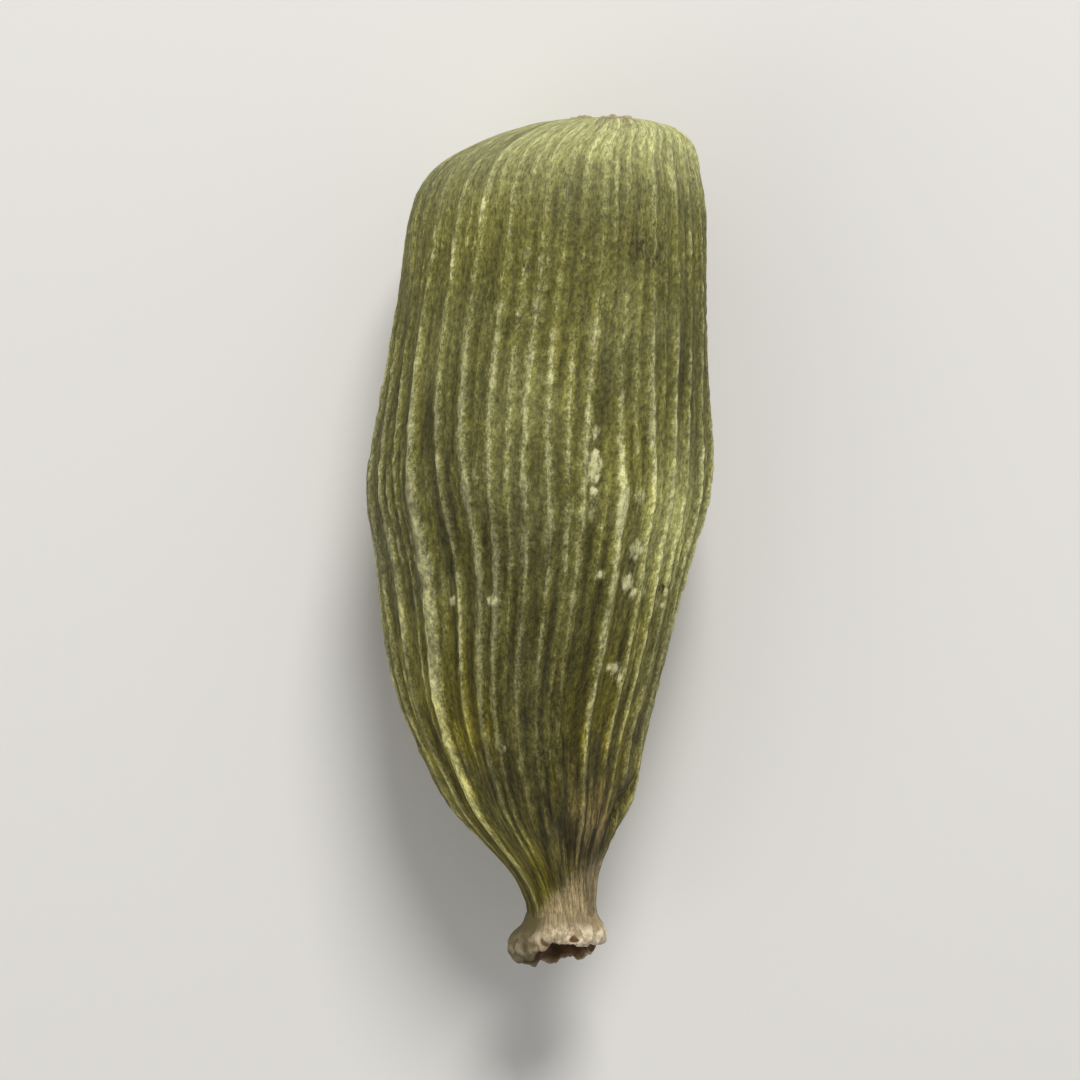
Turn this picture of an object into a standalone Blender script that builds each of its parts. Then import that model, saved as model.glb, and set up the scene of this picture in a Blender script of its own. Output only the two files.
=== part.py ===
# A dried green cardamom pod, lying on its side: one fruit that grew in one piece.
# Metres, +Z up. The pod lies along Y, with its stalk scar at +Y and its beak at -Y, and it rests on
# a small flat spot. The origin is under the middle of the pod's bounding box, on the surface that it lies on.
#
# The skin is one rolled sheet. Its columns run along the ribs, and its rings run round the pod: from
# the middle of the stalk scar, over the husk and the beak, round the torn lip of the dried flower cup
# and down to the stump of the style inside it. "Station" is the distance along the pod from its blunt
# end, and an angle of 90 degrees is the top.

import math
import random

import bmesh
import bpy
from mathutils import Vector, noise

MM = 0.001

# Driving dimensions, in millimetres
POD_LENGTH = 18.5
BODY_HALF_WIDTH = 3.65
HEIGHT_TO_WIDTH = 0.95
BLUNT_END_LENGTH = 3.0
BLUNT_END_SQUARENESS = 2.7
NECK_STATION = 17.2
NECK_RADIUS = 0.77
CUP_RADIUS = 1.05
HOLLOW_RADIUS = 0.62
HOLLOW_FLOOR = 17.7
STYLE_RADIUS = 0.26
STYLE_LENGTH = 0.3
SCAR_RADIUS = 0.85
SCAR_PIT = 0.3

# The flat spot underneath, where the ribs are pressed level
REST_STATION = 7.6
REST_SPOT_LENGTH = 3.2
REST_SPOT_SPREAD = math.radians(34)
REST_SPOT_DEPTH = 0.13
UNDERSIDE = math.radians(-90)

# Station and half width of the husk between its ribs, seen from above.
HUSK_OUTLINE = (
    (0.0, 3.2),
    (3.0, 3.27),
    (6.0, 3.5),
    (8.1, BODY_HALF_WIDTH),
    (9.6, 3.36),
    (12.3, 2.82),
    (14.0, 2.3),
    (15.1, 1.88),
    (15.9, 1.34),
    (16.6, 0.94),
    (NECK_STATION, NECK_RADIUS),
)
# Station and sideways place of the pod's middle line, seen from above.
SIDE_BEND = (
    (0.0, 1.25),
    (0.4, 0.97),
    (1.1, 0.5),
    (2.0, 0.3),
    (4.0, 0.14),
    (8.5, -0.2),
    (12.5, -0.42),
    (15.0, -0.22),
    (17.0, 0.25),
    (POD_LENGTH, 0.42),
)
# Station and height of the middle line, seen from the side.
UP_BEND = (
    (0.0, -0.75),
    (0.8, -0.35),
    (2.5, 0.0),
    (7.0, 0.0),
    (12.0, 0.12),
    (15.5, -0.05),
    (17.3, -0.22),
    (POD_LENGTH, -0.1),
)

# Ribs: angle in degrees and vigour of each one on the upper side, and the spread of the rest
UPPER_RIBS = (
    (4, 0.9),
    (15, 1.1),
    (26, 0.7),
    (37, 0.9),
    (50, 1.4),
    (61, 1.3),
    (72, 0.95),
    (82, 0.7),
    (92, 1.0),
    (100, 0.7),
    (106, 1.0),
    (114, 1.1),
    (124, 1.25),
    (136, 1.7),
    (146, 0.7),
    (155, 1.1),
    (165, 0.75),
    (176, 1.0),
)
LOWER_RIB_COUNT = 18
LOWER_RIB_JITTER = 0.22
LOWER_RIB_VIGOUR = (0.6, 1.4)
COLUMNS_PER_RIB = 4
RIB_HEIGHT = 0.15
RIB_MEANDER = math.radians(1.6)
RIB_UNEVENNESS = 0.35
WEAK_RIB = 0.85
SEED = 7

# The three rounded angles of the fruit, as shares of its half width
ANGLE_SWELL = 0.035
ANGLE_SWELL_BY_BEAK = 0.08
BEAK_SWELL_STATION = 15.2
TOP_ANGLE = math.radians(84)

# A fold of husk at one side by the beak, and shallow dents all over
FOLD_STATION = 14.5
FOLD_LENGTH = 0.8
FOLD_ANGLE = math.radians(18)
FOLD_SPREAD = math.radians(16)
FOLD_HEIGHT = 0.2
DENT_DEPTH = 0.07

# How much shorter the torn lip of the cup is: everywhere, on top, at one side and here and there
LIP_SHORTER = 0.26
LIP_SHORTER_ON_TOP = 0.22
LIP_SHORTER_AT_SIDE = 0.18
LIP_RAGGEDNESS = 0.22
SCAR_RAGGEDNESS = 0.07

# Stations of the sheet's rings on the blunt end, and the number of even ones on the rest of the husk
BLUNT_END_STATIONS = (0.22, 0.58, 1.11, 1.84, BLUNT_END_LENGTH)
HUSK_RINGS = 12
SHOULDER_STATION = 14.2
SHOULDER_RINGS = 7

# Station and radius of each ring of the stalk scar, from the bottom of its pit to its rim
SCAR_RINGS = (
    (SCAR_PIT, 0.0),
    (SCAR_PIT - 0.04, SCAR_RADIUS * 0.42),
    (-0.04, SCAR_RADIUS * 0.68),
    (-0.06, SCAR_RADIUS),
)
# Station, radius, share of rib height and share of the tear of each ring of the flower cup, from the
# neck out over the lip, down to the floor of the hollow and up to the tip of the style
CUP_RINGS = (
    (NECK_STATION + 0.35, NECK_RADIUS * 1.08, 0.7, 0.1),
    (NECK_STATION + 0.65, CUP_RADIUS * 0.95, 0.6, 0.4),
    (NECK_STATION + 0.95, CUP_RADIUS, 0.6, 0.8),
    (POD_LENGTH, CUP_RADIUS * 0.93, 0.4, 1.0),
    (POD_LENGTH, HOLLOW_RADIUS * 1.15, 0.0, 1.0),
    (HOLLOW_FLOOR + 0.4, HOLLOW_RADIUS, 0.0, 0.5),
    (HOLLOW_FLOOR, HOLLOW_RADIUS * 0.8, 0.0, 0.0),
    (HOLLOW_FLOOR, STYLE_RADIUS * 1.2, 0.0, 0.0),
    (HOLLOW_FLOOR + STYLE_LENGTH, STYLE_RADIUS, 0.0, 0.0),
    (HOLLOW_FLOOR + STYLE_LENGTH * 1.13, 0.0, 0.0, 0.0),
)

HUSK_GREEN = (0.205, 0.200, 0.072, 1.0)
HUSK_ROUGHNESS = 0.62


def clear_scene():
    for obj in list(bpy.data.objects):
        bpy.data.objects.remove(obj)


def along(knots, at):
    """The smooth curve through the knots, at one station."""
    if at <= knots[0][0]:
        return knots[0][1]
    if at >= knots[-1][0]:
        return knots[-1][1]
    i = max(n for n in range(len(knots) - 1) if knots[n][0] <= at)

    def slope(n):
        before, after = knots[max(n - 1, 0)], knots[min(n + 1, len(knots) - 1)]
        return (after[1] - before[1]) / (after[0] - before[0])

    (x0, y0), (x1, y1) = knots[i], knots[i + 1]
    gap = x1 - x0
    f = (at - x0) / gap
    return (
        y0 * (1 + 2 * f) * (1 - f) ** 2
        + slope(i) * gap * f * (1 - f) ** 2
        + y1 * f * f * (3 - 2 * f)
        - slope(i + 1) * gap * f * f * (1 - f)
    )


def smooth_step(low, high, value):
    f = min(max((value - low) / (high - low), 0.0), 1.0)
    return f * f * (3 - 2 * f)


def bump(distance, spread):
    return math.exp(-((distance / spread) ** 2))


def turn_between(a, b):
    """The shorter way round from angle b to angle a."""
    return math.remainder(a - b, math.tau)


def unevenness(angle, place, detail):
    """Smooth noise round the pod, mostly within half a unit of zero."""
    return noise.noise(Vector((math.cos(angle) * detail, place, math.sin(angle) * detail)))


def rib_plan():
    """Angle and vigour of each rib, going round from the right-hand side over the top."""
    rng = random.Random(SEED)
    ribs = [(math.radians(angle), vigour) for angle, vigour in UPPER_RIBS]
    pitch = math.pi / LOWER_RIB_COUNT
    for k in range(LOWER_RIB_COUNT):
        place = k + 0.6 + rng.uniform(-LOWER_RIB_JITTER, LOWER_RIB_JITTER)
        ribs.append((math.pi + pitch * place, rng.uniform(*LOWER_RIB_VIGOUR)))
    return ribs


def husk_half_width(station):
    """The outline from above: the husk's curve, rounded off at the blunt end."""
    width = along(HUSK_OUTLINE, station)
    if station < BLUNT_END_LENGTH:
        short = 1 - station / BLUNT_END_LENGTH
        width *= (1 - short**BLUNT_END_SQUARENESS) ** (1 / BLUNT_END_SQUARENESS)
    return width


def sheet_rings():
    """Each ring's station, radius, share of rib height and share of the lip's tear."""
    stations = list(BLUNT_END_STATIONS)
    for start, end, count in (
        (BLUNT_END_LENGTH, SHOULDER_STATION, HUSK_RINGS),
        (SHOULDER_STATION, NECK_STATION, SHOULDER_RINGS),
    ):
        stations += [start + (end - start) * i / count for i in range(1, count + 1)]
    rings = [(station, radius, 0.0, 0.0) for station, radius in SCAR_RINGS]
    rings += [(station, husk_half_width(station), 1.0, 0.0) for station in stations]
    rings += CUP_RINGS
    return rings


def rib_height(station, half_width, angle, vigour):
    """A rib is lower where the skin narrows, and a weak one dies out towards both ends."""
    crowding = half_width / BODY_HALF_WIDTH
    height = RIB_HEIGHT * vigour * crowding**0.75
    if vigour < WEAK_RIB:
        height *= smooth_step(0.3, 0.75, crowding)
    return height * (1 + RIB_UNEVENNESS * unevenness(angle, station * 0.35, 5.0))


def skin_point(station, radius, rib_share, tear_share, column, ribs):
    """One point of the sheet, in millimetres."""
    rib, step = divmod(column, COLUMNS_PER_RIB)
    here, ahead = ribs[rib], ribs[(rib + 1) % len(ribs)]
    part = step / COLUMNS_PER_RIB
    angle = here[0] + (ahead[0] - here[0]) % math.tau * part
    crest_angle, vigour = here if part < 0.5 else ahead
    angle += RIB_MEANDER * math.sin(station * 0.9 + 2.0 * math.sin(angle)) * smooth_step(0.0, 3.0, radius)

    pressed = bump(turn_between(angle, UNDERSIDE), REST_SPOT_SPREAD)
    pressed *= bump(station - REST_STATION, REST_SPOT_LENGTH)
    relief_share = rib_share * (1 - pressed)
    from_crest = min(part, 1 - part) * 2
    relief = rib_height(station, radius, crest_angle, vigour) * (1 - from_crest) ** 1.6
    fold = FOLD_HEIGHT * bump(station - FOLD_STATION, FOLD_LENGTH)
    relief += fold * bump(turn_between(angle, FOLD_ANGLE), FOLD_SPREAD)
    relief += DENT_DEPTH * smooth_step(1.2, 2.6, radius) * unevenness(angle, station * 0.28, 1.3)

    swell = ANGLE_SWELL + (ANGLE_SWELL_BY_BEAK - ANGLE_SWELL) * bump(station - BEAK_SWELL_STATION, 1.3)
    swell *= smooth_step(0.8, 2.4, radius)
    radius *= 1 + swell * math.cos(3 * (angle - TOP_ANGLE))
    radius += relief * relief_share

    shorter = LIP_SHORTER + LIP_SHORTER_ON_TOP * math.sin(angle) + LIP_SHORTER_AT_SIDE * math.cos(angle)
    station -= tear_share * (shorter + LIP_RAGGEDNESS * unevenness(angle, 9.0, 2.2))
    if station < 0.0:
        station -= SCAR_RAGGEDNESS * unevenness(angle, 5.0, 3.1)

    return Vector(
        (
            along(SIDE_BEND, station) + radius * math.cos(angle),
            -station,
            along(UP_BEND, station) + radius * math.sin(angle) * HEIGHT_TO_WIDTH,
        )
    )


def rolled_sheet():
    """A flat grid rolled round the pod, closed along its seam and at both poles."""
    ribs = rib_plan()
    rings = sheet_rings()
    columns = len(ribs) * COLUMNS_PER_RIB
    bm = bmesh.new()
    bmesh.ops.create_grid(bm, x_segments=columns, y_segments=len(rings) - 1, size=0.5)
    for vert in bm.verts:
        column = round((vert.co.x + 0.5) * columns) % columns
        ring = round((vert.co.y + 0.5) * (len(rings) - 1))
        vert.co = skin_point(*rings[ring], column, ribs) * MM
    bmesh.ops.remove_doubles(bm, verts=bm.verts, dist=1e-8)
    bmesh.ops.recalc_face_normals(bm, faces=bm.faces)
    return bm


def lay_down(bm):
    """Presses the rest spot flat, and puts the origin under the middle of the bounding box."""
    floor = min(vert.co.z for vert in bm.verts) + REST_SPOT_DEPTH * MM
    for vert in bm.verts:
        vert.co.z = max(vert.co.z, floor)
    xs = [vert.co.x for vert in bm.verts]
    ys = [vert.co.y for vert in bm.verts]
    middle = Vector(((min(xs) + max(xs)) / 2, (min(ys) + max(ys)) / 2, floor))
    bmesh.ops.translate(bm, vec=-middle, verts=bm.verts)


def husk_material():
    material = bpy.data.materials.new("dried_husk")
    material.use_nodes = True
    shader = material.node_tree.nodes["Principled BSDF"]
    shader.inputs["Base Color"].default_value = HUSK_GREEN
    shader.inputs["Roughness"].default_value = HUSK_ROUGHNESS
    shader.inputs["Metallic"].default_value = 0.0
    return material


def make_pod():
    bm = rolled_sheet()
    lay_down(bm)
    mesh = bpy.data.meshes.new("cardamom_pod")
    bm.to_mesh(mesh)
    bm.free()
    mesh.shade_smooth()
    mesh.set_sharp_from_angle(angle=math.radians(50))
    mesh.materials.append(husk_material())
    pod = bpy.data.objects.new("cardamom_pod", mesh)
    bpy.context.scene.collection.objects.link(pod)


clear_scene()
make_pod()
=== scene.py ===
# A dried green cardamom pod on a plain pale floor, seen from straight above.
import math
import random

import bmesh
import bpy
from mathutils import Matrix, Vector, noise


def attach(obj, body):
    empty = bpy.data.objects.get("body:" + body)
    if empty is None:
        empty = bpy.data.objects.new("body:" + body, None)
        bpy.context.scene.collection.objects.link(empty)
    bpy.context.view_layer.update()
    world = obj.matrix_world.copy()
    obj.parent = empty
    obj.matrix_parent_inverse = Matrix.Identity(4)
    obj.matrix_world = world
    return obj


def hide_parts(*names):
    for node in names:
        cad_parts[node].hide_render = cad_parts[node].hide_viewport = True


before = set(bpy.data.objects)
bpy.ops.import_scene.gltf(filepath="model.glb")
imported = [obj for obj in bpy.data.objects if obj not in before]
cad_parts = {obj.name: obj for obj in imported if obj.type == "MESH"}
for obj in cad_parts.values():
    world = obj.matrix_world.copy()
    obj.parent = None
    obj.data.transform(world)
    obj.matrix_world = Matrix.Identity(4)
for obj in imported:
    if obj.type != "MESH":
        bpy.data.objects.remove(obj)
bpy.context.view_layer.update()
mm = 0.001
fullTurn = math.tau

# The pod's run in millimetres. Station is the distance from the blunt end, 90 degrees is the top.
pod = {
    "length": 18.5,
    "halfWidth": 3.65,
    "heightToWidth": 0.95,
    "bluntEnd": 3.0,
    "bluntSquareness": 2.7,
    "outline": ((0.0, 3.2), (3.0, 3.27), (6.0, 3.5), (8.1, 3.65), (9.6, 3.36), (12.3, 2.82), (14.0, 2.3),
                (15.1, 1.88), (15.9, 1.34), (16.6, 0.94), (17.2, 0.77)),
    "sideBend": ((0.0, 1.25), (0.4, 0.97), (1.1, 0.5), (2.0, 0.3), (4.0, 0.14), (8.5, -0.2), (12.5, -0.42),
                 (15.0, -0.22), (17.0, 0.25), (18.5, 0.42)),
    "upBend": ((0.0, -0.75), (0.8, -0.35), (2.5, 0.0), (7.0, 0.0), (12.0, 0.12), (15.5, -0.05),
               (17.3, -0.22), (18.5, -0.1)),
    "shift": (0.1726, 9.2597, 3.2119),  # puts the rest spot on the floor, under the middle of the box
    "swell": 0.035,  # how three-sided it is
    "swellByBeak": 0.08,
    "swellStation": 15.2,
    "swellLength": 1.3,
    "topAngle": math.radians(84),
    "tanStart": 16.4,  # stations between which the husk dries to tan
    "tanEnd": 17.5,
    "tanSkew": 0.8,
    "restStation": 7.6,
    "restLength": 3.2,
    "restSpread": math.radians(34),
}


def smoothCurve(knots, at):
    if at <= knots[0][0]:
        return knots[0][1]
    if at >= knots[-1][0]:
        return knots[-1][1]
    i = max(n for n in range(len(knots) - 1) if knots[n][0] <= at)

    def slope(n):
        before, after = knots[max(n - 1, 0)], knots[min(n + 1, len(knots) - 1)]
        return (after[1] - before[1]) / (after[0] - before[0])

    (x0, y0), (x1, y1) = knots[i], knots[i + 1]
    gap = x1 - x0
    f = (at - x0) / gap
    return (y0 * (1 + 2 * f) * (1 - f) ** 2 + slope(i) * gap * f * (1 - f) ** 2
            + y1 * f * f * (3 - 2 * f) - slope(i + 1) * gap * f * f * (1 - f))


def ramp(low, high, value):
    f = min(max((value - low) / (high - low), 0.0), 1.0)
    return f * f * (3 - 2 * f)


def bump(distance, spread):
    return math.exp(-((distance / spread) ** 2))


def turnBetween(a, b):
    return math.remainder(a - b, fullTurn)


def around(angle, place, detail):
    # smooth noise round the pod that meets itself
    return noise.noise(Vector((math.cos(angle) * detail, place, math.sin(angle) * detail)))


def halfWidthAt(station):
    width = smoothCurve(pod["outline"], station)
    if station < pod["bluntEnd"]:
        short = 1 - max(station, 0.0) / pod["bluntEnd"]
        width *= (1 - short ** pod["bluntSquareness"]) ** (1 / pod["bluntSquareness"])
    return width


def inFrame(station, radius, angle, rise=0.0):
    # a point round the pod's bent middle line, in metres
    shift = pod["shift"]
    x = smoothCurve(pod["sideBend"], station) + radius * math.cos(angle)
    z = smoothCurve(pod["upBend"], station) + radius * math.sin(angle) * pod["heightToWidth"] + rise
    return Vector((x + shift[0], shift[1] - station, max(z + shift[2], 0.0))) * mm


def rollSheet(columns, rings, place, layers=()):
    # a flat grid rolled into a closed skin: u runs round it and v along it
    bm = bmesh.new()
    bm.loops.layers.uv.new("skin")
    grain = bm.verts.layers.float_vector.new("grain")
    floats = [bm.verts.layers.float.new(name) for name in layers]
    bmesh.ops.create_grid(bm, x_segments=columns, y_segments=rings - 1, size=0.5, calc_uvs=True)
    for vert in bm.verts:
        column = round((vert.co.x + 0.5) * columns) % columns
        ring = round((vert.co.y + 0.5) * (rings - 1))
        vert.co, vert[grain], values = place(column, ring)
        for layer, value in zip(floats, values):
            vert[layer] = value
    bmesh.ops.remove_doubles(bm, verts=bm.verts, dist=1e-8)
    bmesh.ops.recalc_face_normals(bm, faces=bm.faces)
    return bm


def makePiece(name, bm, material):
    mesh = bpy.data.meshes.new(name)
    bm.to_mesh(mesh)
    bm.free()
    mesh.shade_smooth()
    mesh.materials.append(material)
    piece = bpy.data.objects.new(name, mesh)
    bpy.context.scene.collection.objects.link(piece)
    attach(piece, "root")
    print(name, len(mesh.polygons), "faces")
    return piece


# Materials

def newMaterial(name):
    material = bpy.data.materials.new(name)
    material.use_nodes = True
    return material, material.node_tree.nodes, material.node_tree.links


def attributeNode(nodes, name):
    node = nodes.new("ShaderNodeAttribute")
    node.attribute_name = name
    return node


def noiseNode(nodes, links, vector, scale, detail, rough, stretch=(1.0, 1.0, 1.0), offset=(0.0, 0.0, 0.0)):
    mapping = nodes.new("ShaderNodeMapping")
    mapping.inputs["Scale"].default_value = stretch
    mapping.inputs["Location"].default_value = offset
    links.new(vector, mapping.inputs["Vector"])
    node = nodes.new("ShaderNodeTexNoise")
    node.inputs["Scale"].default_value = scale
    node.inputs["Detail"].default_value = detail
    node.inputs["Roughness"].default_value = rough
    links.new(mapping.outputs["Vector"], node.inputs["Vector"])
    return node.outputs["Fac"]


def cellNode(nodes, links, vector, scale, stretch):
    mapping = nodes.new("ShaderNodeMapping")
    mapping.inputs["Scale"].default_value = stretch
    links.new(vector, mapping.inputs["Vector"])
    node = nodes.new("ShaderNodeTexVoronoi")
    node.inputs["Scale"].default_value = scale
    links.new(mapping.outputs["Vector"], node.inputs["Vector"])
    return node.outputs["Distance"]


def rampNode(nodes, links, value, low, high, outLow=0.0, outHigh=1.0):
    node = nodes.new("ShaderNodeMapRange")
    node.interpolation_type = "SMOOTHSTEP"
    node.inputs["From Min"].default_value = low
    node.inputs["From Max"].default_value = high
    node.inputs["To Min"].default_value = outLow
    node.inputs["To Max"].default_value = outHigh
    links.new(value, node.inputs["Value"])
    return node.outputs["Result"]


def mathNode(nodes, links, operation, *values):
    node = nodes.new("ShaderNodeMath")
    node.operation = operation
    for socket, value in zip(node.inputs, values):
        if isinstance(value, (int, float)):
            socket.default_value = value
        else:
            links.new(value, socket)
    return node.outputs["Value"]


def mixNode(nodes, links, factor, a, b, blend="MIX"):
    node = nodes.new("ShaderNodeMix")
    node.data_type = "RGBA"
    node.blend_type = blend
    if isinstance(factor, (int, float)):
        node.inputs["Factor"].default_value = factor
    else:
        links.new(factor, node.inputs["Factor"])
    for socket, value in ((node.inputs["A"], a), (node.inputs["B"], b)):
        if isinstance(value, tuple):
            socket.default_value = value
        else:
            links.new(value, socket)
    return node.outputs["Result"]


def bumpNode(nodes, links, height, distance, strength, under=None):
    node = nodes.new("ShaderNodeBump")
    node.inputs["Strength"].default_value = strength
    node.inputs["Distance"].default_value = distance
    links.new(height, node.inputs["Height"])
    if under is not None:
        links.new(under, node.inputs["Normal"])
    return node.outputs["Normal"]


huskLook = {
    "groove": (0.066, 0.060, 0.011, 1.0),
    "skin": (0.155, 0.146, 0.028, 1.0),
    "crest": (0.430, 0.418, 0.200, 1.0),
    "freshAndLit": (0.540, 0.545, 0.235, 1.0),
    "browner": (1.0, 0.92, 0.42, 1.0),
    "straw": (0.490, 0.382, 0.208, 1.0),
    "brown": (0.290, 0.210, 0.076, 1.0),
    "bruise": (0.105, 0.070, 0.020, 1.0),
    "cream": (0.740, 0.715, 0.375, 1.0),
    "pit": (0.062, 0.048, 0.016, 1.0),
    "roughness": (0.74, 0.54),  # between the fibres and on them
    "specular": 0.35,
    # from and to which station, in millimetres from the blunt end
    "lighterUntil": (2.5, 6.5),
    "brownerSkin": (8.5, 14.5),
    "brownerCrests": (9.5, 15.0),
    "streaksGrow": (4.0, 14.0),
    "streaksEnd": (15.8, 17.3),
    "blotchesGrow": (11.0, 14.0),
    # heights of the finest relief, in metres
    "fibreBump": 0.00006,
    "fineBump": 0.00005,
    "poreBump": 0.000025,
}

huskLayers = ("crest", "granule", "tan", "brown", "freshAndLit", "cream", "pit", "toneShadeAndLight")


def huskPatterns(nodes, links, grain):
    # a millimetre and less across, most of them drawn out along the pod
    return {
        "fibre": noiseNode(nodes, links, grain, scale=9.0, detail=5.0, rough=0.62, stretch=(1.0, 0.09, 1.0)),
        "fine": noiseNode(nodes, links, grain, scale=13.0, detail=3.0, rough=0.6, stretch=(1.0, 0.5, 1.0)),
        "pores": cellNode(nodes, links, grain, scale=10.0, stretch=(1.0, 0.6, 1.0)),
        "grains": cellNode(nodes, links, grain, scale=5.5, stretch=(1.0, 0.75, 1.0)),
        "streaks": noiseNode(nodes, links, grain, scale=4.0, detail=3.0, rough=0.65,
                             stretch=(1.0, 0.1, 1.0), offset=(2.0, 6.0, 4.0)),
        "specks": noiseNode(nodes, links, grain, scale=22.0, detail=2.0, rough=0.6,
                            stretch=(1.0, 0.7, 1.0), offset=(5.0, 2.0, 1.0)),
        "mottle": noiseNode(nodes, links, grain, scale=2.2, detail=4.0, rough=0.65,
                            stretch=(1.0, 0.55, 1.0), offset=(3.0, 1.0, 7.0)),
        "patches": noiseNode(nodes, links, grain, scale=0.42, detail=3.0, rough=0.6, stretch=(1.0, 0.6, 1.0)),
    }


def bodyNode(nodes, links, masks):
    # how high a point of the skin stands, from the grooves to the crests
    body = mathNode(nodes, links, "MULTIPLY_ADD", masks["fibre"], 0.55, -0.27)
    body = mathNode(nodes, links, "ADD", body, mathNode(nodes, links, "MULTIPLY", masks["granule"], 0.12))
    body = mathNode(nodes, links, "ADD", body, masks["crest"])
    lighter = rampNode(nodes, links, masks["along"], *huskLook["lighterUntil"], 0.1, 0.0)
    return mathNode(nodes, links, "ADD", body, lighter)


def brownerNode(nodes, links, masks, colour, stations, most):
    # the skin grows browner from the one station to the other
    factor = rampNode(nodes, links, masks["along"], *stations, 0.0, most)
    return mixNode(nodes, links, factor, colour,
                   mixNode(nodes, links, 1.0, colour, huskLook["browner"], "MULTIPLY"))


def skinColour(nodes, links, masks, body):
    # dark grooves, olive slopes and pale crests
    look = huskLook
    colour = mixNode(nodes, links, rampNode(nodes, links, body, -0.08, 0.36), look["groove"], look["skin"])
    colour = brownerNode(nodes, links, masks, colour, look["brownerSkin"], 1.0)
    pale = mathNode(nodes, links, "MULTIPLY_ADD", masks["granule"], 0.5, 0.78)
    pale = mathNode(nodes, links, "MULTIPLY", pale, body)
    speckled = mathNode(nodes, links, "MULTIPLY_ADD", masks["specks"], 0.7, -0.35)
    pale = mathNode(nodes, links, "ADD", pale, speckled)
    colour = mixNode(nodes, links, rampNode(nodes, links, pale, 0.25, 0.86), colour, look["crest"])
    return brownerNode(nodes, links, masks, colour, look["brownerCrests"], 0.5)


def freshLitAndDried(nodes, links, masks, body, colour):
    look = huskLook
    # fresher green by the blunt end and in soft patches; by the blunt end and in the pale patches it is
    # partly painted light
    inPatches = mathNode(nodes, links, "MULTIPLY", rampNode(nodes, links, masks["patches"], 0.45, 0.7), 0.15)
    byEnd = mathNode(nodes, links, "MULTIPLY", masks["freshAndLit"],
                     rampNode(nodes, links, body, -0.1, 0.8, 0.5, 1.0))
    freshAndLitShare = mathNode(nodes, links, "MAXIMUM", inPatches, byEnd)
    colour = mixNode(nodes, links, freshAndLitShare, colour, look["freshAndLit"])
    # dried tan towards the beak
    tanEdge = mathNode(nodes, links, "MULTIPLY", masks["mottle"], 0.5)
    tanEdge = mathNode(nodes, links, "ADD", masks["tan"], tanEdge)
    tanMask = mathNode(nodes, links, "MULTIPLY", rampNode(nodes, links, tanEdge, 0.35, 1.0),
                       rampNode(nodes, links, body, -0.1, 0.7, 0.7, 1.0))
    colour = mixNode(nodes, links, tanMask, colour, look["straw"])
    # brown bruise beside the beak
    brownSkin = mixNode(nodes, links, rampNode(nodes, links, masks["streaks"], 0.38, 0.56),
                        look["bruise"], look["brown"])
    brownEdge = mathNode(nodes, links, "MULTIPLY", masks["brown"],
                         rampNode(nodes, links, masks["mottle"], 0.3, 0.6, 0.3, 1.0))
    return mixNode(nodes, links, brownEdge, colour, brownSkin)


def shadeNode(nodes, links, masks):
    # mottling, streaks and blotches darken and lighten the skin; the tone patches add painted shade and
    # painted light as well as the skin's own tone
    look, along = huskLook, masks["along"]
    shade = rampNode(nodes, links, masks["mottle"], 0.25, 0.75, 0.84, 1.16)
    shade = mathNode(nodes, links, "MULTIPLY", shade,
                     rampNode(nodes, links, masks["fine"], 0.3, 0.7, 0.66, 1.38))
    streak = rampNode(nodes, links, masks["streaks"], 0.36, 0.64, -0.3, 0.34)
    streak = mathNode(nodes, links, "MULTIPLY", streak,
                      rampNode(nodes, links, along, *look["streaksGrow"], 0.5, 1.25))
    streak = mathNode(nodes, links, "MULTIPLY", streak,
                      rampNode(nodes, links, along, *look["streaksEnd"], 1.0, 0.3))
    shade = mathNode(nodes, links, "MULTIPLY", shade, mathNode(nodes, links, "ADD", streak, 1.0))
    blotch = rampNode(nodes, links, masks["mottle"], 0.32, 0.66, -0.28, 0.34)
    blotch = mathNode(nodes, links, "MULTIPLY", blotch,
                      rampNode(nodes, links, along, *look["blotchesGrow"]))
    shade = mathNode(nodes, links, "MULTIPLY", shade, mathNode(nodes, links, "ADD", blotch, 1.0))
    shade = mathNode(nodes, links, "MULTIPLY", shade,
                     rampNode(nodes, links, masks["specks"], 0.3, 0.7, 0.87, 1.14))
    return mathNode(nodes, links, "MULTIPLY", shade, masks["toneShadeAndLight"])


def poresGrainsAndCreaseShade(nodes, links, masks, colour):
    look, fine = huskLook, masks["fine"]
    pores = mathNode(nodes, links, "MULTIPLY", rampNode(nodes, links, masks["pores"], 0.12, 0.3, 1.0, 0.0),
                     rampNode(nodes, links, masks["mottle"], 0.45, 0.7))
    colour = mixNode(nodes, links, mathNode(nodes, links, "MULTIPLY", pores, 0.6), colour, look["pit"])
    # pits, and painted shade in the crease and the slit beside the beak
    pits = mathNode(nodes, links, "MULTIPLY", masks["pit"],
                    rampNode(nodes, links, fine, 0.35, 0.6, 1.5, 0.35))
    colour = mixNode(nodes, links, rampNode(nodes, links, pits, 0.2, 0.8), colour, look["pit"])
    cream = mathNode(nodes, links, "MULTIPLY", masks["cream"],
                     rampNode(nodes, links, masks["grains"], 0.1, 0.55, 1.4, 0.6))
    cream = mathNode(nodes, links, "MULTIPLY", cream, rampNode(nodes, links, fine, 0.35, 0.6, 0.65, 1.3))
    return mixNode(nodes, links, rampNode(nodes, links, cream, 0.12, 0.9), colour, look["cream"])


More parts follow.
